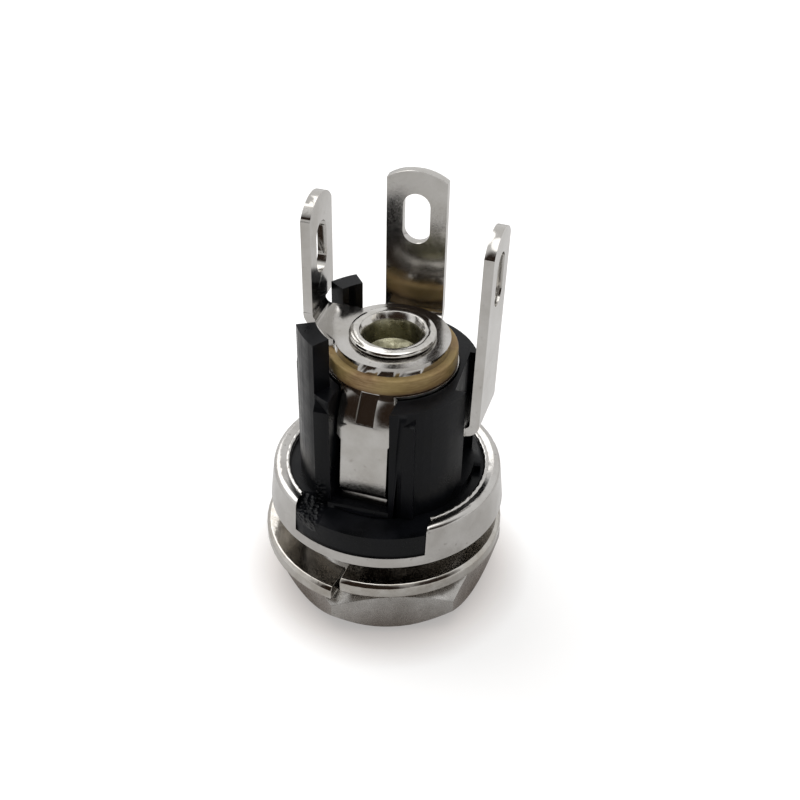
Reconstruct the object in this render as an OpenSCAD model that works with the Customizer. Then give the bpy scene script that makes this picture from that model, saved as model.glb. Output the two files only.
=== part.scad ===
// Panel-mount DC power jack for a 5.5 x 2.1 mm plug: M8 nose with nut and lock washer, three solder tabs.
// All sizes are in millimetres. The origin is the centre of the nose end and +Z runs to the solder tabs.
// The sleeve strap faces -Y, its solder tab +Y, the pin lug's tab -X and the switch tab +X.

/* [Shell] */
// Diameter over the crests of the nose thread, a plain cylinder here
thread_d = 8; // [7.8:0.05:8.05]
// Bore that the plug's sleeve enters
socket_d = 6.2; // [6.1:0.05:6.4]
// Diameter of the collar at its lower edge
collar_d = 11.26; // [11.1:0.02:11.6]
// Diameter of the collar where the rolled rim begins
collar_top_d = 10.9; // [10.8:0.02:11]
// Height of the collar's underside, which clamps the panel
collar_z = 4.88; // [4.6:0.02:5]
// Height of the cup's floor and of the notch's lower edge
cup_z = 5.45; // [5.35:0.01:5.55]
// Height of the rolled rim's outer top
rim_z = 6.9; // [6.85:0.01:7]
// Diameter of the opening that the rolled rim leaves
rim_open_d = 9.28; // [9.1:0.02:9.4]
// Side of the collar's notch towards the pin lug's tab
notch_x0 = -3.12; // [-3.2:0.02:-3]
// Side of the collar's notch towards the switch tab
notch_x1 = 3.06; // [3:0.02:3.2]

/* [Nut] */
// Width across flats
nut_af = 10; // [9.8:0.1:10.4]
// Height of the nut's lower face
nut_z = 0.4; // [0.3:0.05:0.5]
// Thickness of the nut
nut_h = 2; // [1.8:0.05:2]
// Angle of a corner of the nut
nut_turn = 18.7; // [0:0.1:60]
// Steepness of the chamfer on the upper side
nut_top_slope = 0.56; // [0.4:0.02:0.7]
// Steepness of the chamfer on the lower side
nut_low_slope = 1.19; // [0.9:0.01:1.2]

/* [Lock washer] */
// Outer diameter
washer_d = 11.6; // [11.4:0.02:11.7]
// Inner diameter, loose on the thread
washer_bore_d = 8.4; // [8.38:0.02:8.6]
// Thickness of the wire
washer_t = 0.75; // [0.6:0.05:0.8]
// How far the sprung end stands above the other end
washer_rise = 0.75; // [0.5:0.05:0.8]
// Angle of the middle of the gap
washer_gap_at = -97.4; // [-180:0.2:180]
// Angle that the gap spans
washer_gap = 4.4; // [3:0.2:8]

/* [Body] */
// Diameter of the flange that the rolled rim holds
flange_d = 10; // [9.8:0.05:10]
// Height of the flange's upper face
flange_top_z = 6.6; // [6.5:0.01:6.61]
// Diameter of the tower
tower_d = 8.3; // [8.2:0.05:8.4]
// Height of the tower's top
tower_z = 12.5; // [12.4:0.02:12.6]
// Radius of the key's face in the collar's notch
key_r = 5.5; // [5.4:0.02:5.55]
// Height of the socket's inner end
web_z = 10.2; // [10.1:0.05:10.3]
// Height of the front post
post_front_z = 15; // [14.6:0.05:15.2]
// Height of the rear post
post_rear_z = 14.7; // [14.6:0.05:15]

/* [Contacts] */
// Thickness of the strip that every contact is stamped from
strip_t = 0.44; // [0.38:0.01:0.44]
// Width of the solder tabs
tab_w = 2.8; // [2.6:0.05:2.9]
// Width of the slot in a solder tab
slot_w = 1.28; // [1:0.02:1.4]
// Length of the slot in a solder tab
slot_l = 2.52; // [2:0.02:2.8]
// Height of the sleeve contact's solder tab at its crown
back_tab_z = 20; // [19:0.05:20.5]
// Height of the switch terminal's solder tab at its crown
side_tab_z = 19.9; // [19:0.05:20.5]
// Height of the pin lug's solder tab at its crown
lug_tab_z = 19.6; // [19:0.05:20.5]
// How far the crown of the back tab stands above its corners
back_crown = 0.45; // [0.2:0.01:0.8]
// How far the crown of a side tab stands above its corners
side_crown = 0.75; // [0.3:0.01:1]
// Outward lean of the switch terminal's tab in degrees
side_lean = 1.1; // [0:0.1:2]

/* [Pin] */
// Diameter of the centre pin
pin_d = 2.1; // [2.05:0.05:2.5]
// Height of the centre pin's tip behind the nose end
pin_tip_z = 1; // [0.8:0.05:1.5]
// Diameter of the tail's bore
tail_bore_d = 2.46; // [2.3:0.02:2.5]
// Outer diameter of the rolled tail
tail_rim_d = 3.94; // [3.8:0.02:4]

/* [Hidden] */
$fn = 72;
gap = 0.02;
thread_r = thread_d / 2;
socket_r = socket_d / 2;
flange_r = flange_d / 2;
tower_r = tower_d / 2;
cup_r = flange_r + 0.04;
rim_open_r = rim_open_d / 2;
rim_under_z = flange_top_z + gap;
roll_r = rim_z - rim_under_z;
nose_chamfer = 0.3;
mouth_chamfer = 0.2;
shank_r = 1.65;
washer_x = -0.15;
stack_x = 0.17;
stack_y = 0.04;
ring_z = 12.66;
ring_r = 3.02;
ring_hole_r = 2;
boss_r = 1.8;
strap_turn = -3.2;
strap_y = -3.15;
strap_bend_r = 2.3;
strap_x0 = -1.35;
strap_x1 = 1.21;
strap_foot_x0 = -1.17;
strap_foot_x1 = 1.03;
strap_shoulder_z = 10.12;
strap_bow_z = 7.45;
strap_end_z = 6.72;
strap_bow = 0.3;
slot_x0 = -1.44;
slot_x1 = 1.35;
rib_y = -3.8;
rib_x0 = -2.36;
rib_x1 = 2.2;
gusset_x = -0.09;
gusset_w = 0.84;
gusset_low_z = 10.95;
gusset_y = -2.2;
back_tab_x = 0.15;
back_tab_y = 4;
back_bend_r = 0.4;
tan_r = 2.97;
lug_z = 13.44;
lug_ring_r = 2.62;
lug_bend_x = -3.2;
lug_bend_r = 0.35;
lug_tab_y = 1.5;
lug_turn = -2;
foot_z = 9.95;
foot_bend_r = 0.25;
side_tab_x = 4.2;
side_tab_y = 0.12;
side_turn = -2.9;
finger_in_r = 2.45;
finger_out_r = 3.05;
pin_r = pin_d / 2;
pin_flange_z = web_z - 0.5;
pin_flange_r = 2.2;
slot_below_crown = 2.37;
lug_slot_below_crown = 2.6;
tail_flare_r = 1.5;
tail_top_r = 1.72;
tail_h = 0.32;

// A quarter of a ring in the first quadrant, true arcs
module quarter(outer, inner) {
  intersection() {
    difference() {
      circle(outer);
      circle(inner);
    }
    square(outer + 1);
  }
}

// A sector of a tube
module arc_wall(r_in, r_out, from, to, low, high) {
  rotate([0, 0, from])
    rotate_extrude(angle = to - from)
      translate([r_in, low])
        square([r_out - r_in, high - low]);
}

// A block between two corners
module block(a, b) {
  translate(a)
    cube(b - a);
}

// Turns a drawing of (Y, Z) into a solid between two X planes
module across_x(x0, x1) {
  translate([x0, 0, 0])
    rotate([90, 0, 90])
      linear_extrude(x1 - x0)
        children();
}

// Turns a drawing of (X, Z) into a solid between two Y planes
module across_y(y0, y1) {
  translate([0, y1, 0])
    rotate([90, 0, 0])
      linear_extrude(y1 - y0)
        children();
}

// Outline of a solder tab, its width along X, its crown at height top and its slot below that
module tab_outline(low, top, crown, slot_drop) {
  crown_r = (tab_w * tab_w / 4 + crown * crown) / (2 * crown);
  slot_mid = top - slot_drop;
  slot_end = slot_l / 2 - slot_w / 2;
  difference() {
    intersection() {
      translate([-tab_w / 2, low])
        square([tab_w, top - low]);
      translate([0, top - crown_r])
        union() {
          circle(crown_r);
          translate([-tab_w, low - top - crown_r])
            square([2 * tab_w, top - low + crown_r]);
        }
    }
    translate([-slot_w / 2, slot_mid - slot_end])
      square([slot_w, 2 * slot_end]);
    translate([0, slot_mid - slot_end])
      circle(slot_w / 2);
    translate([0, slot_mid + slot_end])
      circle(slot_w / 2);
  }
}

module shell_profile() {
  difference() {
    union() {
      // nose with chamfered end
      polygon([
        [socket_r + mouth_chamfer, 0],
        [thread_r - nose_chamfer, 0],
        [thread_r, nose_chamfer],
        [thread_r, collar_z + 0.2],
        [socket_r, collar_z + 0.2],
        [socket_r, mouth_chamfer]
      ]);
      // collar and wall, up to where the rim rolls over
      polygon([
        [socket_r, collar_z],
        [collar_d / 2 - 0.08, collar_z],
        [collar_d / 2, collar_z + 0.08],
        [collar_top_d / 2, rim_under_z],
        [collar_top_d / 2 - roll_r, rim_z],
        [rim_open_r + 0.22, rim_z - 0.06],
        [rim_open_r, rim_z - 0.16],
        [rim_open_r, rim_under_z],
        [cup_r, rim_under_z],
        [cup_r, cup_z],
        [socket_r, cup_z]
      ]);
      // outer round of the rolled rim
      translate([collar_top_d / 2 - roll_r, rim_under_z])
        circle(roll_r);
    }
    // inside of the cup, which also trims the round
    translate([0, cup_z])
      square([cup_r, rim_under_z - cup_z]);
  }
}

module threaded_shell() {
  color([0.78, 0.78, 0.76])
    difference() {
      rotate_extrude()
        shell_profile();
      block([notch_x0, -7, cup_z], [notch_x1, -2, 8]);
    }
}

module hex_nut() {
  across_corners = nut_af / cos(30);
  chamfer_run = across_corners / 2 - nut_af / 2 + 0.5;
  color([0.72, 0.73, 0.74])
    difference() {
      intersection() {
        translate([0, 0, nut_z])
          rotate([0, 0, nut_turn])
            cylinder(h = nut_h, d = across_corners, $fn = 6);
        rotate_extrude()
          polygon([
            [0, nut_z - 0.1],
            [nut_af / 2 - 0.1 / nut_low_slope, nut_z - 0.1],
            [nut_af / 2 + chamfer_run, nut_z + chamfer_run * nut_low_slope],
            [nut_af / 2 + chamfer_run, nut_z + nut_h - chamfer_run * nut_top_slope],
            [nut_af / 2 - 0.1 / nut_top_slope, nut_z + nut_h + 0.1],
            [0, nut_z + nut_h + 0.1]
          ]);
      }
      // plain bore over the thread's crests, with countersunk ends
      rotate_extrude()
        polygon([
          [0, nut_z - 0.1],
          [thread_r + 0.25, nut_z - 0.1],
          [thread_r + gap, nut_z + 0.2],
          [thread_r + gap, nut_z + nut_h - 0.2],
          [thread_r + 0.25, nut_z + nut_h + 0.1],
          [0, nut_z + nut_h + 0.1]
        ]);
    }
}

// Split ring that climbs evenly from its low end to its sprung end
module lock_washer() {
  steps = 60;
  inner = washer_bore_d / 2;
  outer = washer_d / 2;
  edge = 0.07;
  sweep = 360 - washer_gap;
  start = washer_gap_at + washer_gap / 2;
  low = nut_z + nut_h + 0.01;
  slope = 0.17;
  section = [
    [inner, edge], [inner + edge, 0], [outer - edge, 0], [outer, edge],
    [outer, washer_t - slope], [outer - slope, washer_t], [inner + edge, washer_t], [inner, washer_t - edge]
  ];
  sides = len(section);
  points = [
    for (i = [0 : steps], p = section)
      [washer_x + p[0] * cos(start + sweep * i / steps),
       p[0] * sin(start + sweep * i / steps),
       low + washer_rise * (1 - i / steps) + p[1]]
  ];
  walls = [
    for (i = [0 : steps - 1], j = [0 : sides - 1])
      [i * sides + j, i * sides + (j + 1) % sides, (i + 1) * sides + (j + 1) % sides, (i + 1) * sides + j]
  ];
  first_end = [[for (j = [0 : sides - 1]) sides - 1 - j]];
  last_end = [[for (j = [0 : sides - 1]) steps * sides + j]];
  color([0.8, 0.8, 0.78])
    polyhedron(points = points, faces = concat(walls, first_end, last_end), convexity = 4);
}

// Wall blocks beside the strap slot, with flat fronts and sloped tops
module slot_ribs() {
  for (span = [[rib_x0, slot_x0], [slot_x1 - 0.35, rib_x1]])
    across_x(span[0], span[1])
      polygon([
        [rib_y, flange_top_z - 0.1],
        [rib_y, 11.85],
        [rib_y + 0.12, 12.02],
        [rib_y + 0.5, tower_z - 0.1],
        [rib_y + 0.75, tower_z],
        [-2.6, tower_z],
        [-2.6, flange_top_z - 0.1]
      ]);
}

module body_solid() {
  // flange under the rolled rim, and the key in the collar's notch
  difference() {
    translate([0, 0, cup_z])
      cylinder(h = flange_top_z - cup_z, r = flange_r);
    translate([0, 0, cup_z - 1])
      cylinder(h = 3, r = socket_r);
  }
  intersection() {
    arc_wall(4.2, key_r, -140, -40, cup_z, flange_top_z);
    block([notch_x0 + 2 * gap, -7, cup_z - 1], [notch_x1 - 2 * gap, -2, 8]);
  }
  // tower
  translate([0, 0, cup_z + 0.5])
    cylinder(h = tower_z - cup_z - 0.5, r = tower_r);
  slot_ribs();
  // posts on each side of the pin lug's arm
  arc_wall(3.3, tower_r, -152, -126, tower_z - 0.5, post_front_z);
  arc_wall(3.3, tower_r, 127, 145.5, tower_z - 0.5, post_rear_z);
  // pad on the flange beside the switch terminal
  arc_wall(4, flange_r - 0.5, 5, 40, flange_top_z - 0.1, flange_top_z + 0.35);
}

// Strap slot, round at the top where the strap is bent over the body
module strap_room() {
  back_y = strap_y + strip_t + gap;
  bend_y = strap_y + strap_bend_r;
  bend_z = ring_z - strap_bend_r;
  across_x(slot_x0, slot_x1)
    difference() {
      translate([-5, flange_top_z + 0.08])
        square([bend_y - 0.05 + 5, tower_z - flange_top_z]);
      translate([bend_y, bend_z])
        circle(strap_bend_r - strip_t - 0.13);
      translate([back_y, flange_top_z - 1])
        square([3, bend_z - flange_top_z + 1]);
    }
}

module body() {
  color([0.09, 0.09, 0.11])
    difference() {
      union() {
        difference() {
          body_solid();
          // seat for the sleeve contact's ring, and the way out for its arm
          translate([stack_x, stack_y, ring_z - strip_t - gap])
            cylinder(h = 1, r = ring_r + 0.06);
          block([back_tab_x - tab_w / 2 - 0.06, 1, ring_z - strip_t - gap],
                [back_tab_x + tab_w / 2 + 0.06, 5, tower_z + 1]);
          rotate([0, 0, strap_turn])
            strap_room();
        }
        // sill at the foot of the strap slot
        block([-1.75, -3.95, flange_top_z - 0.1], [1.25, -3.5, flange_top_z + 0.3]);
        // boss that keeps the ring off the pin's shank
        translate([0, 0, web_z + 0.5])
          cylinder(h = ring_z - web_z - 0.5 - gap, r = boss_r);
      }
      // socket and the hole for the pin's shank
      translate([0, 0, cup_z - 0.5])
        cylinder(h = web_z - cup_z + 0.5, r = socket_r);
      translate([0, 0, web_z - 0.5])
        cylinder(h = 4, r = shank_r + gap);
      // room behind the strap, open to the socket
      rotate([0, 0, strap_turn])
        block([slot_x0, strap_y - 0.2, flange_top_z + 0.08], [slot_x1, -2, web_z]);
      // side slot for the switch terminal, with the way in for its foot
      block([3.42, -1.4, 7], [6, 1.68, tower_z + 1]);
      block([2.3, -1.4, foot_z - gap], [3.5, 1.68, foot_z + strip_t + gap]);
      arc_wall(finger_in_r - 0.05, finger_out_r + 0.05, -75, 0, web_z - 0.5, foot_z + strip_t + gap);
      // triangular pocket at the foot of the wall beside the left rib
      translate([0, 0, flange_top_z])
        linear_extrude(1.5)
          polygon([[-2.36, -3.3], [-3.05, -3.05], [-2.36, -4.2]]);
    }
}

// Strap, top bend, ring plane and back tab seen from the side, as (Y, Z)
module sleeve_profile() {
  bend_y = strap_y + strap_bend_r;
  bend_z = ring_z - strap_bend_r;
  bow_mid = (strap_bow_z + strap_end_z) / 2;
  up_y = back_tab_y - back_bend_r;
  up_z = ring_z + back_bend_r;
  // strap, bowed towards the plug at its lower end
  polygon([
    [strap_y, bend_z + 0.01],
    [strap_y, strap_bow_z],
    [strap_y + strap_bow, bow_mid + 0.05],
    [strap_y + strap_bow, bow_mid - 0.05],
    [strap_y + 0.16, strap_end_z],
    [strap_y + 0.16 + strip_t, strap_end_z],
    [strap_y + strap_bow + strip_t, bow_mid - 0.05],
    [strap_y + strap_bow + strip_t, bow_mid + 0.05],
    [strap_y + strip_t, strap_bow_z],
    [strap_y + strip_t, bend_z + 0.01]
  ]);
  // top bend
  translate([bend_y, bend_z])
    mirror([1, 0])
      quarter(strap_bend_r, strap_bend_r - strip_t);
  // ring plane
  translate([bend_y - 0.01, ring_z - strip_t])
    square([up_y - bend_y + 0.02, strip_t]);
  // bend up into the back tab
  translate([up_y, up_z])
    mirror([0, 1])
      quarter(back_bend_r + strip_t, back_bend_r);
  translate([back_tab_y, up_z - 0.01])
    square([strip_t, back_tab_z - up_z]);
}

// Strap with shoulders, top bend and the gusset pressed across it
module strap() {
  bend_y = strap_y + strap_bend_r;
  difference() {
    union() {
      intersection() {
        across_x(strap_x0 - 0.1, strap_x1 + 0.1)
          sleeve_profile();
        across_y(-4, bend_y)
          polygon([
            [strap_foot_x0, strap_end_z - 1],
            [strap_foot_x0, strap_shoulder_z - 0.12],
            [strap_x0, strap_shoulder_z + 0.13],
            [strap_x0, 13],
            [strap_x1, 13],
            [strap_x1, strap_shoulder_z + 0.13],
            [strap_foot_x1, strap_shoulder_z - 0.12],
            [strap_foot_x1, strap_end_z - 1]
          ]);
      }
      // inner side of the gusset
      across_x(gusset_x - gusset_w / 2, gusset_x + gusset_w / 2)
        polygon([
          [strap_y + 0.3, gusset_low_z],
          [gusset_y, 12],
          [gusset_y, 11.55],
          [strap_y + strip_t + 0.08, gusset_low_z]
        ]);
    }
    // outer side of the gusset
    across_x(gusset_x - gusset_w / 2, gusset_x + gusset_w / 2)
      polygon([
        [strap_y - 0.2, gusset_low_z],
        [strap_y + 0.16, gusset_low_z],
        [gusset_y, 12.12],
        [gusset_y, 12.6],
        [strap_y - 0.2, 12.6]
      ]);
  }
}

module sleeve_contact() {
  color([0.82, 0.82, 0.8])
    difference() {
      union() {
        rotate([0, 0, strap_turn])
          strap();
        // ring, open where the strap bends away from it
        difference() {
          translate([stack_x, stack_y, ring_z - strip_t])
            cylinder(h = strip_t, r = ring_r);
          rotate([0, 0, strap_turn])
            block([strap_x0 + gap, -4, 12], [strap_x1 - gap, -0.5, 13]);
        }
        // back tab and its arm
        intersection() {
          across_x(back_tab_x - tab_w, back_tab_x + tab_w)
            sleeve_profile();
          across_y(1, 5)
            translate([back_tab_x, 0])
              tab_outline(12, back_tab_z, back_crown, slot_below_crown);
        }
      }
      // hole over the body's boss
      translate([stack_x, stack_y, 11.3])
        cylinder(h = 2, r = ring_hole_r);
    }
}

module insulating_washer() {
  color([0.62, 0.52, 0.38])
    difference() {
      translate([stack_x, stack_y, ring_z])
        cylinder(h = lug_z - ring_z, r = tan_r);
      translate([stack_x, stack_y, ring_z - 1])
        cylinder(h = 3, r = shank_r + gap);
    }
}

// Pin lug's bend and tab seen from the front, as (X, Z), with the bend line at X = 0
module lug_profile() {
  bend_z = lug_z + strip_t + lug_bend_r;
  translate([-0.01, lug_z])
    square([1.3, strip_t]);
  translate([0, bend_z])
    rotate(180)
      quarter(lug_bend_r + strip_t, lug_bend_r);
  translate([-lug_bend_r - strip_t, bend_z - 0.01])
    square([strip_t, lug_tab_z - bend_z]);
}

module pin_lug() {
  bend_z = lug_z + strip_t + lug_bend_r;
  color([0.82, 0.82, 0.8])
    difference() {
      union() {
        translate([stack_x, stack_y, lug_z])
          cylinder(h = strip_t, r = lug_ring_r);
        // flat arm from the ring to the bend
        translate([0, 0, lug_z])
          linear_extrude(strip_t)
            polygon([
              [-2.27, -1.08], [-2.64, -0.94], [-3.12, -0.38],
              [-3.06, 1.85], [-1.9, 1.85], [-1, 0]
            ]);
        // bend and tab
        intersection() {
          translate([lug_bend_x, lug_tab_y, 0])
            rotate([0, 0, lug_turn])
              across_y(-3, 3)
                lug_profile();
          union() {
            translate([0, 0, lug_z - 1])
              linear_extrude(bend_z + 1 - lug_z + 0.05)
                polygon([
                  [-2.64, -0.94], [-3.2, -0.28], [-3.5, lug_tab_y - tab_w / 2],
                  [-5, lug_tab_y - tab_w / 2], [-5, 1.85], [-2.2, 1.85]
                ]);
            translate([-3.55, lug_tab_y, 0])
              rotate([0, 0, 90 + lug_turn])
                across_y(-2, 2)
                  tab_outline(bend_z, lug_tab_z, side_crown, lug_slot_below_crown);
          }
        }
      }
      translate([stack_x, stack_y, lug_z - 1])
        cylinder(h = 3, r = shank_r + gap);
    }
}

// Shank above the body with its tail rolled outwards over the lug, off the pin's axis
module tail() {
  lug_top_z = lug_z + strip_t;
  tail_top_z = lug_top_z + tail_h;
  bore_r = tail_bore_d / 2;
  roll_out_r = tail_rim_d / 2;
  translate([stack_x, stack_y, 0])
    rotate_extrude()
      polygon([
        [0, ring_z - gap], [shank_r, ring_z - gap], [shank_r, lug_top_z + 0.01],
        [roll_out_r - 0.2, lug_top_z + 0.01], [roll_out_r - 0.04, lug_top_z + 0.07],
        [roll_out_r, lug_top_z + 0.16], [roll_out_r - 0.05, lug_top_z + 0.25], [tail_top_r, tail_top_z],
        [tail_flare_r, tail_top_z - 0.01], [bore_r + 0.07, lug_top_z + 0.06], [bore_r, lug_top_z - 0.1],
        [bore_r, 12.9], [0, 12.5]
      ]);
}

module centre_pin() {
  color([0.82, 0.82, 0.8])
    union() {
      // pin with a rounded tip, flange and shank
      rotate_extrude() {
        translate([0, pin_tip_z + pin_r])
          square([pin_r, pin_flange_z - pin_tip_z - pin_r + 0.1]);
        intersection() {
          translate([0, pin_tip_z + pin_r])
            circle(pin_r);
          translate([0, pin_tip_z - 0.1])
            square([pin_r, pin_r + 0.2]);
        }
        translate([0, pin_flange_z])
          square([pin_flange_r, web_z - gap - pin_flange_z]);
        translate([0, pin_flange_z])
          square([shank_r, ring_z - pin_flange_z]);
      }
      tail();
    }
}

// Switch terminal's foot, bend and tab seen from the front, as (X, Z), with the tab's inner face at X = 0
module switch_profile() {
  bend_z = foot_z + strip_t + foot_bend_r;
  translate([-foot_bend_r, bend_z])
    mirror([0, 1])
      quarter(foot_bend_r + strip_t, foot_bend_r);
  translate([0, bend_z - 0.01])
    square([strip_t, side_tab_z + 1 - bend_z]);
}

module switch_terminal() {
  bend_z = foot_z + strip_t + foot_bend_r;
  color([0.82, 0.82, 0.8])
    union() {
      // bend and tab, leaning slightly outwards
      translate([side_tab_x, side_tab_y, bend_z])
        rotate([0, side_lean, side_turn])
          translate([0, 0, -bend_z])
            intersection() {
              across_y(-tab_w / 2, tab_w / 2)
                switch_profile();
              rotate([0, 0, 90])
                across_y(-2, 2)
                  tab_outline(foot_z - 1, side_tab_z, side_crown, slot_below_crown);
            }
      // foot, running in through the body's wall
      block([2.55, -1.3, foot_z], [side_tab_x - foot_bend_r + 0.02, 1.5, foot_z + strip_t]);
      // finger that bears on the strap while no plug is in
      difference() {
        arc_wall(finger_in_r, finger_out_r, -72, -20, foot_z, foot_z + strip_t);
        block([0, -4, foot_z - 1], [4, strap_y + strip_t + 0.01, foot_z + 1]);
      }
    }
}

threaded_shell();
hex_nut();
lock_washer();
body();
sleeve_contact();
insulating_washer();
pin_lug();
centre_pin();
switch_terminal();
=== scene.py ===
# Panel-mount dc power jack: finished pieces, materials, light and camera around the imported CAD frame.
# Everything is in metres in the CAD frame: +Z to the solder tabs, -Y to the sleeve strap.
import math
import bpy
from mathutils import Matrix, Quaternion, Vector


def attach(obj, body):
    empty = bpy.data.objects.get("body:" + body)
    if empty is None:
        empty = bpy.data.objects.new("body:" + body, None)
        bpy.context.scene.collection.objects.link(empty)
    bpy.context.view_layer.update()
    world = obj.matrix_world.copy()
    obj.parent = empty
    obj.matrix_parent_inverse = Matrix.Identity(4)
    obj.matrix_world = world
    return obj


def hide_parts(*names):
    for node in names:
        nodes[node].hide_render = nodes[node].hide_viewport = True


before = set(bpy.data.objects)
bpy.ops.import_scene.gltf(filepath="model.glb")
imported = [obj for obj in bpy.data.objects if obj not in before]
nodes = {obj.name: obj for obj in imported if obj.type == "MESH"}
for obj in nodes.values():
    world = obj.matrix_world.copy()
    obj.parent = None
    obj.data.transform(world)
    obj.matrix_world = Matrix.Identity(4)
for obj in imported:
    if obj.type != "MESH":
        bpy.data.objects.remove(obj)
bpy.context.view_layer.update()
mm = 0.001
print("frame loaded:", len(nodes), "nodes")


# small helpers
# a noise texture's values lie near 0.5, and these are the stretches of it that are used
spread = {"patch": (0.35, 0.65), "fine": (0.3, 0.7), "speck": (0.66, 0.74)}


def linear(hexColour):
    parts = [int(hexColour[i:i + 2], 16) / 255 for i in (1, 3, 5)]
    return [c / 12.92 if c <= 0.04045 else ((c + 0.055) / 1.055) ** 2.4 for c in parts] + [1.0]


def addNode(tree, kind, settings=None, links=None):
    # settings go to a property or an input by name or number, links to an input by name or number
    node = tree.nodes.new(kind)
    for name, value in (settings or {}).items():
        if isinstance(name, int) or name in node.inputs:
            node.inputs[name].default_value = value
        else:
            setattr(node, name, value)
    for name, source in (links or {}).items():
        tree.links.new(source, node.inputs[name])
    return node


def newMaterial(name):
    material = bpy.data.materials.new(name)
    material.use_nodes = True
    tree = material.node_tree
    tree.nodes.clear()
    output = addNode(tree, "ShaderNodeOutputMaterial")
    coords = addNode(tree, "ShaderNodeTexCoord").outputs["Object"]
    return material, tree, output, coords


def noise(tree, coords, size, detail=3.0, roughness=0.5):
    # size is the pattern's real size in millimetres
    settings = {"Scale": 1 / (size * mm), "Detail": detail, "Roughness": roughness}
    return addNode(tree, "ShaderNodeTexNoise", settings, {"Vector": coords}).outputs["Fac"]


def ramp(tree, value, low, high, toLow=0.0, toHigh=1.0):
    settings = {"From Min": low, "From Max": high, "To Min": toLow, "To Max": toHigh}
    return addNode(tree, "ShaderNodeMapRange", settings, {"Value": value}).outputs["Result"]


def calc(tree, operation, first, second):
    settings = {"operation": operation}
    links = {}
    for place, value in ((0, first), (1, second)):
        if isinstance(value, (int, float)):
            settings[place] = value
        else:
            links[place] = value
    return addNode(tree, "ShaderNodeMath", settings, links).outputs[0]


def blendColours(tree, factor, first, second):
    settings = {"data_type": "RGBA"}
    links = {"Factor": factor}
    for place, value in ((6, first), (7, second)):
        if isinstance(value, str):
            settings[place] = linear(value)
        else:
            links[place] = value
    return addNode(tree, "ShaderNodeMix", settings, links).outputs[2]


def bump(tree, height, depth, before=None):
    # depth is the relief's real height in millimetres
    links = {"Height": height}
    if before is not None:
        links["Normal"] = before
    return addNode(tree, "ShaderNodeBump", {"Strength": 1.0, "Distance": depth * mm}, links).outputs["Normal"]


def selectOnly(piece):
    bpy.ops.object.select_all(action="DESELECT")
    piece.select_set(True)
    bpy.context.view_layer.objects.active = piece


def copyNode(nodeName, pieceName):
    # a copy of a CAD node's mesh, merged, with its flat faces made whole
    piece = bpy.data.objects.new(pieceName, nodes[nodeName].data.copy())
    piece.data.name = pieceName
    piece.data.materials.clear()
    bpy.context.collection.objects.link(piece)
    selectOnly(piece)
    bpy.ops.object.mode_set(mode="EDIT")
    bpy.ops.mesh.select_all(action="SELECT")
    bpy.ops.mesh.remove_doubles(threshold=0.0015 * mm)
    bpy.ops.mesh.dissolve_limited(angle_limit=math.radians(1.0))
    bpy.ops.mesh.normals_make_consistent(inside=False)
    bpy.ops.object.mode_set(mode="OBJECT")
    return piece


def roundEdges(piece, width, segments=2, angle=32):
    selectOnly(piece)
    edge = piece.modifiers.new("edgeRound", "BEVEL")
    edge.width = width * mm
    edge.segments = segments
    edge.limit_method = "ANGLE"
    edge.angle_limit = math.radians(angle)
    edge.miter_outer = "MITER_ARC"
    edge.use_clamp_overlap = True
    bpy.ops.object.modifier_apply(modifier=edge.name)


def finishPiece(piece, nodeName, materials, smooth=35):
    selectOnly(piece)
    for material in materials:
        piece.data.materials.append(material)
    bpy.ops.object.shade_smooth_by_angle(angle=math.radians(smooth))
    even = piece.modifiers.new("evenShade", "WEIGHTED_NORMAL")
    even.weight = 100
    even.keep_sharp = True
    bpy.ops.object.modifier_apply(modifier=even.name)
    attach(piece, "root")
    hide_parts(nodeName)


# materials

def platedMetal(name, look):
    # nickel over metal: tone patches, fine pits, soft waviness that bends what the plating mirrors
    material, tree, output, coords = newMaterial(name)
    patches = noise(tree, coords, look["patch"], 4.0, 0.6)
    tone = blendColours(tree, ramp(tree, patches, *spread["patch"]), look["light"], look["dark"])
    fine = noise(tree, coords, look["grain"], 4.0, 0.6)
    specks = ramp(tree, noise(tree, coords, look["grain"] * 2.2, 2.0), *spread["speck"])
    tone = blendColours(tree, calc(tree, "MULTIPLY", specks, look["speckAmount"]), tone, look["speck"])
    rough = ramp(tree, fine, *spread["fine"], look["rough"] * 0.75, look["rough"] * 1.35)
    normal = bump(tree, noise(tree, coords, look["wave"], 2.0), look["waveDepth"])
    normal = bump(tree, fine, look["grainDepth"], normal)
    shader = addNode(tree, "ShaderNodeBsdfPrincipled", {"Metallic": 1.0},
                     {"Base Color": tone, "Roughness": rough, "Normal": normal})
    tree.links.new(shader.outputs["BSDF"], output.inputs["Surface"])
    return material


# bright nickel on the turned brass shell
shellNickel = platedMetal("nickelPlatedBrass", {
    "light": "#BCBAB7", "dark": "#ACA9A5", "speck": "#5E574F", "speckAmount": 0.4, "patch": 1.6,
    "grain": 0.11, "grainDepth": 0.0014, "wave": 1.3, "waveDepth": 0.010, "rough": 0.17,
})
# duller nickel on the nut, as it comes out of a barrel
nutNickel = platedMetal("barrelPlatedNickel", {
    "light": "#B3B1AE", "dark": "#9D9A96", "speck": "#544D46", "speckAmount": 0.3, "patch": 1.2,
    "grain": 0.09, "grainDepth": 0.0014, "wave": 0.9, "waveDepth": 0.008, "rough": 0.25,
})
# plated spring steel of the lock washer
springSteel = platedMetal("platedSpringSteel", {
    "light": "#B9B6B1", "dark": "#A09B93", "speck": "#4F463C", "speckAmount": 0.4, "patch": 0.8,
    "grain": 0.12, "grainDepth": 0.0009, "wave": 0.7, "waveDepth": 0.010, "rough": 0.13,
})
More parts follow.
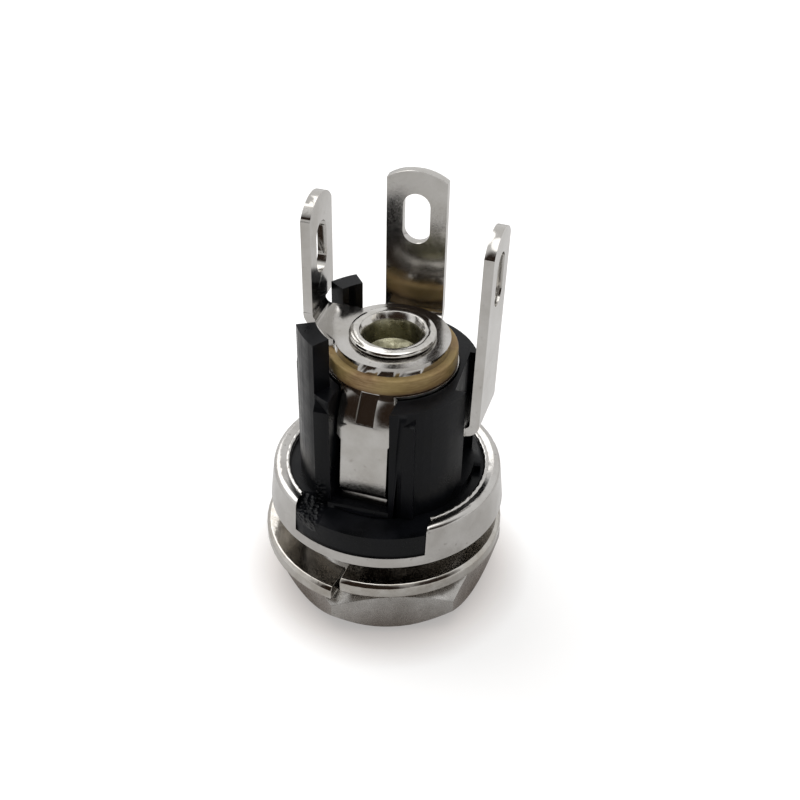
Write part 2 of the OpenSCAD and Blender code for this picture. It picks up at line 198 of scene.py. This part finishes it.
# nickel on the stamped contact strip, slightly wavy from rolling
stripNickel = platedMetal("nickelPlatedStrip", {
    "light": "#BFBDBA", "dark": "#ADAAA5", "speck": "#6F665C", "speckAmount": 0.25, "patch": 1.9,
    "grain": 0.13, "grainDepth": 0.0011, "wave": 1.7, "waveDepth": 0.010, "rough": 0.15,
})
# nickel on the turned pin and its rolled tail
pinNickel = platedMetal("nickelPlatedPin", {
    "light": "#C8C6C2", "dark": "#B5B2AC", "speck": "#6A6356", "speckAmount": 0.3, "patch": 0.8,
    "grain": 0.1, "grainDepth": 0.0016, "wave": 0.6, "waveDepth": 0.006, "rough": 0.14,
})
# the drilled hole in the tail, where the plating hardly reaches
drilledBrass = platedMetal("drilledBrass", {
    "light": "#A09D88", "dark": "#7E7B66", "speck": "#C9C6B2", "speckAmount": 0.5, "patch": 0.5,
    "grain": 0.2, "grainDepth": 0.003, "wave": 0.5, "waveDepth": 0.03, "rough": 0.3,
})


def mouldedNylon(name, look):
    # black glass-filled nylon: faint orange peel, matt flow marks, pebbles where the flange meets the key
    material, tree, output, coords = newMaterial(name)
    patches = noise(tree, coords, look["patch"], 3.0, 0.6)
    tone = blendColours(tree, ramp(tree, patches, *spread["patch"]), look["dark"], look["light"])
    fine = noise(tree, coords, look["peel"], 4.0, 0.6)
    rough = ramp(tree, patches, *spread["patch"], look["rough"] * 0.8, look["rough"] * 1.3)
    split = addNode(tree, "ShaderNodeSeparateXYZ", {}, {"Vector": coords})
    # the pebbled corner fades in from the first place to the second along each axis
    side, front, low, high = [ramp(tree, split.outputs[axis], start * mm, end * mm)
                              for axis, start, end in look["corner"]]
    zone = calc(tree, "MULTIPLY", calc(tree, "MULTIPLY", side, front), calc(tree, "MULTIPLY", low, high))
    pebbles = addNode(tree, "ShaderNodeTexVoronoi", {"Scale": 1 / (look["pebble"] * mm)}, {"Vector": coords})
    heap = calc(tree, "MULTIPLY", pebbles.outputs["Distance"], zone)
    normal = bump(tree, fine, look["peelDepth"])
    normal = bump(tree, noise(tree, coords, look["flow"], 2.0), look["flowDepth"], normal)
    normal = bump(tree, heap, look["pebbleDepth"], normal)
    shader = addNode(tree, "ShaderNodeBsdfPrincipled", {"IOR": 1.53, "Specular IOR Level": look["sheen"]},
                     {"Base Color": tone, "Roughness": rough, "Normal": normal})
    tree.links.new(shader.outputs["BSDF"], output.inputs["Surface"])
    return material


blackNylon = mouldedNylon("mouldedBlackNylon", {
    "dark": "#07080A", "light": "#0C0D11", "patch": 1.4, "rough": 0.33, "sheen": 0.12,
    "peel": 0.16, "peelDepth": 0.006, "flow": 1.5, "flowDepth": 0.02, "pebble": 0.2, "pebbleDepth": 0.16,
    "corner": (("X", -1.8, -2.2), ("Y", -3.2, -3.5), ("Z", 6.0, 6.4), ("Z", 8.3, 7.3)),
})


def phenolicSheet(name, look):
    # resin-bonded paper: thin layers along the cut edge, painted shade darkening it towards its foot, pale
    # fibres
    material, tree, output, coords = newMaterial(name)
    split = addNode(tree, "ShaderNodeSeparateXYZ", {}, {"Vector": coords})
    wander = calc(tree, "MULTIPLY", noise(tree, coords, look["wander"], 2.0), look["wanderHeight"] * mm)
    height = calc(tree, "ADD", split.outputs["Z"], wander)
    squash = {"Scale": (1.0, 1.0, look["squash"])}
    stretched = addNode(tree, "ShaderNodeMapping", squash, {"Vector": coords}).outputs["Vector"]
    fibres = noise(tree, stretched, look["fibre"], 5.0, 0.65)
    layers = addNode(tree, "ShaderNodeMath", {"operation": "SINE"},
                     {0: calc(tree, "MULTIPLY", height, 2 * math.pi / (look["layer"] * mm))}).outputs[0]
    mixed = calc(tree, "ADD", fibres, calc(tree, "MULTIPLY", layers, look["layerShare"]))
    tone = blendColours(tree, ramp(tree, mixed, 0.32, 0.68), look["dark"], look["light"])
    warm = ramp(tree, noise(tree, coords, look["warmPatch"], 1.0), 0.42, 0.6, 0.0, 0.5)
    tone = blendColours(tree, warm, tone, look["yellow"])
    # painted shade: the side darkens to the foot colour along its lowest part, where the washer sits on the
    # contact ring
    footShadeBand = ramp(tree, height, look["footFrom"] * mm, look["footTo"] * mm)
    tone = blendColours(tree, footShadeBand, look["foot"], tone)
    normal = bump(tree, mixed, look["depth"])
    rough = ramp(tree, fibres, *spread["fine"], look["rough"] * 0.8, look["rough"] * 1.3)
    shader = addNode(tree, "ShaderNodeBsdfPrincipled", {"IOR": 1.5, "Specular IOR Level": look["sheen"]},
                     {"Base Color": tone, "Roughness": rough, "Normal": normal})
    tree.links.new(shader.outputs["BSDF"], output.inputs["Surface"])
    return material


# the foot colour with footFrom and footTo is painted shade at the washer's foot, where it sits on the contact
# ring
tanPhenolic = phenolicSheet("tanPhenolicSheet", {
    "light": "#A88D64", "dark": "#7E623F", "yellow": "#A5925A", "warmPatch": 2.6,
    "foot": "#5A4029", "footFrom": 12.72, "footTo": 12.95, "wander": 0.9, "wanderHeight": 0.12,
    "fibre": 0.45, "squash": 4.0, "layer": 0.12, "layerShare": 0.05, "depth": 0.012, "rough": 0.5, "sheen": 0.35,
})
print("materials ready")


# shell with the M8 x 0.75 thread on its nose

thread = {"pitch": 0.75, "crest": 3.995, "root": 3.62, "low": 0.32, "high": 4.86, "steps": 72, "edge": 0.03,
          "sunk": 0.04, "rootShare": 0.47, "crestShare": 0.08}
nose = {"top": 5.2, "inner": 3.65, "outer": 4.05, "chamfer": 0.1}
shell = copyNode("threaded_shell", "threadedShell")
for vertex in shell.data.vertices:
    away = math.hypot(vertex.co.x, vertex.co.y)
    if vertex.co.z < nose["top"] * mm and nose["inner"] * mm < away < nose["outer"] * mm:
        # the nose is turned down to the thread's root, with its chamfer kept at the mouth
        cut = 0 if vertex.co.z > nose["chamfer"] * mm else nose["chamfer"]
        inside = (thread["root"] - cut) * mm
        vertex.co.x *= inside / away
        vertex.co.y *= inside / away
roundEdges(shell, thread["edge"], 2)

turns = (thread["high"] - thread["low"]) / thread["pitch"] - 0.5
bpy.ops.object.select_all(action="DESELECT")
bpy.ops.mesh.primitive_circle_add(vertices=4, radius=mm, fill_type="NGON")
ridge = bpy.context.object
ridge.name = "noseThread"
halfRoot = thread["pitch"] * thread["rootShare"]
halfCrest = thread["pitch"] * thread["crestShare"]
foot = thread["root"] - thread["sunk"]
outline = [(foot, -halfRoot), (thread["crest"], -halfCrest), (thread["crest"], halfCrest), (foot, halfRoot)]
for vertex, (out, up) in zip(ridge.data.vertices, outline):
    vertex.co = (out * mm, 0, (thread["low"] + thread["pitch"] * 0.25 + up) * mm)
winding = ridge.modifiers.new("winding", "SCREW")
winding.axis = "Z"
winding.angle = 2 * math.pi * turns
winding.screw_offset = thread["pitch"] * turns * mm
winding.steps = int(thread["steps"] * turns)
winding.render_steps = winding.steps
winding.use_merge_vertices = False
bpy.ops.object.modifier_apply(modifier=winding.name)
bpy.ops.object.mode_set(mode="EDIT")
bpy.ops.mesh.select_all(action="SELECT")
bpy.ops.mesh.normals_make_consistent(inside=False)
bpy.ops.object.mode_set(mode="OBJECT")

# coarse bead along the rolled rim's inner lip, open where the collar is notched
# each ripple has a height, a count around the rim, a twist across the bead and a start
lip = {"radius": 4.765, "height": 6.79, "thick": 0.125, "around": 220, "across": 14,
       "notchFrom": -3.12, "notchTo": 3.06, "tooth": 0.03,
       "ripples": ((1.0, 70, 22, 0.0), (0.6, 43, 0, 1.7), (0.4, 113, 9, 0.0))}
bpy.ops.object.select_all(action="DESELECT")
bpy.ops.mesh.primitive_torus_add(major_radius=lip["radius"] * mm, minor_radius=lip["thick"] * mm,
                                 major_segments=lip["around"], minor_segments=lip["across"],
                                 location=(0, 0, lip["height"] * mm))
bead = bpy.context.object
bead.name = "rimBead"
bpy.ops.object.transform_apply(location=True, rotation=True, scale=True)
for vertex in bead.data.vertices:
    angle = math.atan2(vertex.co.y, vertex.co.x)
    away = math.hypot(vertex.co.x, vertex.co.y) / mm - lip["radius"]
    ripple = sum(height * math.sin(angle * count + away * twist + start)
                 for height, count, twist, start in lip["ripples"])
    above = max(0.0, vertex.co.z / mm - lip["height"])
    vertex.co.z += lip["tooth"] * mm * (0.5 * ripple - 1.0) * above / lip["thick"]
bpy.ops.object.mode_set(mode="EDIT")
for side, out in ((lip["notchFrom"], 1), (lip["notchTo"], -1)):
    bpy.ops.mesh.select_all(action="SELECT")
    bpy.ops.mesh.bisect(plane_co=(side * mm, 0, 0), plane_no=(out, 0, 0))
bpy.ops.mesh.select_all(action="DESELECT")
bpy.ops.object.mode_set(mode="OBJECT")
for face in bead.data.polygons:
    face.select = lip["notchFrom"] * mm < face.center.x < lip["notchTo"] * mm and face.center.y < 0
bpy.ops.object.mode_set(mode="EDIT")
bpy.ops.mesh.delete(type="FACE")
bpy.ops.mesh.select_all(action="SELECT")
bpy.ops.mesh.normals_make_consistent(inside=False)
bpy.ops.object.mode_set(mode="OBJECT")

selectOnly(shell)
ridge.select_set(True)
bead.select_set(True)
bpy.ops.object.join()
finishPiece(shell, "threaded_shell", [shellNickel])
print("shell with its thread")


# nut and lock washer

nutLook = {"edge": 0.07, "segments": 3}
nut = copyNode("hex_nut", "hexNut")
roundEdges(nut, nutLook["edge"], nutLook["segments"], 20)
finishPiece(nut, "hex_nut", [nutNickel], 25)

washerLook = {"edge": 0.05, "segments": 2}
washer = copyNode("lock_washer", "lockWasher")
roundEdges(washer, washerLook["edge"], washerLook["segments"], 25)
finishPiece(washer, "lock_washer", [springSteel], 40)
print("nut and lock washer")


# moulded body

bodyLook = {"edge": 0.05, "segments": 2}
body = copyNode("body", "mouldedBody")
roundEdges(body, bodyLook["edge"], bodyLook["segments"])
finishPiece(body, "body", [blackNylon])
print("moulded body")


# contacts

stripLook = {"edge": 0.045, "segments": 2, "springFrom": 9.9, "springFront": -2.2, "spring": 0.115}
stripPieces = (("sleeve_contact", "sleeveContact"), ("pin_lug", "pinLug"), ("switch_terminal", "switchTerminal"))
for nodeName, pieceName in stripPieces:
    strip = copyNode(nodeName, pieceName)
    if nodeName == "sleeve_contact":
        # the strap springs slightly outwards below its shoulders
        for vertex in strip.data.vertices:
            if vertex.co.z < stripLook["springFrom"] * mm and vertex.co.y < stripLook["springFront"] * mm:
                vertex.co.y -= stripLook["spring"] * (stripLook["springFrom"] * mm - vertex.co.z)
    roundEdges(strip, stripLook["edge"], stripLook["segments"])
    finishPiece(strip, nodeName, [stripNickel])
print("contacts")


# insulating washer

tanLook = {"edge": 0.09, "segments": 3}
tan = copyNode("insulating_washer", "insulatingWasher")
roundEdges(tan, tanLook["edge"], tanLook["segments"])
finishPiece(tan, "insulating_washer", [tanPhenolic])
print("insulating washer")


# centre pin with its rolled tail

pinLook = {"edge": 0.035, "segments": 2, "tailX": 0.17, "tailY": 0.04,
           "boreRadius": 1.32, "boreFrom": 12.3, "boreTo": 13.9}
pin = copyNode("centre_pin", "centrePin")
roundEdges(pin, pinLook["edge"], pinLook["segments"], 25)
finishPiece(pin, "centre_pin", [pinNickel, drilledBrass], 60)
for face in pin.data.polygons:
    away = math.hypot(face.center.x - pinLook["tailX"] * mm, face.center.y - pinLook["tailY"] * mm)
    if away < pinLook["boreRadius"] * mm and pinLook["boreFrom"] * mm < face.center.z < pinLook["boreTo"] * mm:
        face.material_index = 1
print("centre pin")


# floor, surroundings and lamps

# the floor's glow is for the camera only, so the plating mirrors the floor's shading; the near colour, from
# nearFrom to nearTo around the jack, is a painted warm shadow
floorLook = {"size": 1.6, "colour": "#F1F0EF", "near": "#A8968A", "nearFrom": 4.4, "nearTo": 7.4, "glow": 0.36}
bpy.ops.object.select_all(action="DESELECT")
bpy.ops.mesh.primitive_plane_add(size=floorLook["size"], location=(0, 0, 0))
floor = bpy.context.object
floor.name = "studioFloor"
shadowedFloorPaper, tree, output, coords = newMaterial("paleFloorWithPaintedShadow")
path = addNode(tree, "ShaderNodeLightPath")
seen = calc(tree, "MAXIMUM", path.outputs["Is Camera Ray"], path.outputs["Is Transmission Ray"])
strength = calc(tree, "MULTIPLY", seen, floorLook["glow"])
glow = addNode(tree, "ShaderNodeEmission", {"Color": linear("#FFFFFF")}, {"Strength": strength})
away = addNode(tree, "ShaderNodeVectorMath", {"operation": "LENGTH"}, {0: coords}).outputs["Value"]
# painted shadow: the paper darkens to the near colour close to the jack
paperAndShadow = blendColours(tree, ramp(tree, away, floorLook["nearFrom"] * mm, floorLook["nearTo"] * mm),
                     floorLook["near"], floorLook["colour"])
matt = addNode(tree, "ShaderNodeBsdfDiffuse", {}, {"Color": paperAndShadow})
both = addNode(tree, "ShaderNodeAddShader", {}, {0: matt.outputs[0], 1: glow.outputs[0]})
tree.links.new(both.outputs[0], output.inputs["Surface"])
floor.data.materials.append(shadowedFloorPaper)


def darkSide(tree, direction, side):
    # 1 towards the middle of a dim side of the surroundings, 0 away from it
    aim = {"operation": "DOT_PRODUCT", 1: Vector(side["towards"]).normalized()}
    facing = addNode(tree, "ShaderNodeVectorMath", aim, {0: direction}).outputs["Value"]
    return ramp(tree, facing, side["from"], side["to"])


# white surroundings with dim brown sides behind the camera and at the right, which the plating mirrors
airLook = {
    "diffuse": 0.52, "dimColour": "#33271E",
    "behind": {"towards": (-0.05, -0.91, 0.42), "from": 0.70, "to": 0.86},
    "right": {"towards": (0.75, -0.35, 0.55), "from": 0.90, "to": 0.98},
}
world = bpy.data.worlds.new("studioAir")
bpy.context.scene.world = world
world.use_nodes = True
tree = world.node_tree
tree.nodes.clear()
output = addNode(tree, "ShaderNodeOutputWorld")
path = addNode(tree, "ShaderNodeLightPath")
direction = addNode(tree, "ShaderNodeTexCoord").outputs["Generated"]
behind = darkSide(tree, direction, airLook["behind"])
right = darkSide(tree, direction, airLook["right"])
dark = calc(tree, "MAXIMUM", behind, right)
dim = calc(tree, "MULTIPLY", dark, path.outputs["Is Glossy Ray"])
airColour = blendColours(tree, dim, "#FFFFFF", airLook["dimColour"])
seen = calc(tree, "MAXIMUM", path.outputs["Is Camera Ray"], path.outputs["Is Glossy Ray"])
seen = calc(tree, "MAXIMUM", seen, path.outputs["Is Transmission Ray"])
strength = ramp(tree, seen, 0, 1, airLook["diffuse"], 1.0)
air = addNode(tree, "ShaderNodeBackground", {}, {"Color": airColour, "Strength": strength})
tree.links.new(air.outputs[0], output.inputs["Surface"])


lampAim = Vector((0, 0, 8)) * mm


def softLight(name, look):
    data = bpy.data.lights.new(name, "AREA")
    data.shape = "DISK"
    data.size = look["size"]
    data.energy = look["power"]
    data.color = linear(look["colour"])[:3]
    lamp = bpy.data.objects.new(name, data)
    bpy.context.collection.objects.link(lamp)
    lamp.location = Vector(look["place"]) * mm
    lamp.rotation_mode = "QUATERNION"
    lamp.rotation_quaternion = (lampAim - lamp.location).to_track_quat("-Z", "Y")


softLight("keyLight", {"place": (-120, 70, 160), "size": 0.20, "power": 0.17, "colour": "#FFFFFF"})
softLight("topLight", {"place": (20, -10, 220), "size": 0.16, "power": 0.10, "colour": "#FFFFFF"})
print("floor, surroundings and lamps")


# camera

cameraLook = {
    "place": (11.543, -43.050, 43.639),
    "look": (-0.19770, 0.77563, -0.59943),
    "rollDegrees": 1.115,
    "lens": 54.0,
    "sensor": 36,
}
data = bpy.data.cameras.new("viewCamera")
data.lens = cameraLook["lens"]
data.sensor_width = cameraLook["sensor"]
data.clip_start = 0.001
data.clip_end = 10
camera = bpy.data.objects.new("viewCamera", data)
bpy.context.collection.objects.link(camera)
camera.location = Vector(cameraLook["place"]) * mm
camera.rotation_mode = "QUATERNION"
turn = Quaternion((0, 0, 1), math.radians(cameraLook["rollDegrees"]))
camera.rotation_quaternion = Vector(cameraLook["look"]).to_track_quat("-Z", "Y") @ turn
bpy.context.scene.camera = camera

bpy.context.scene.view_settings.view_transform = "Standard"
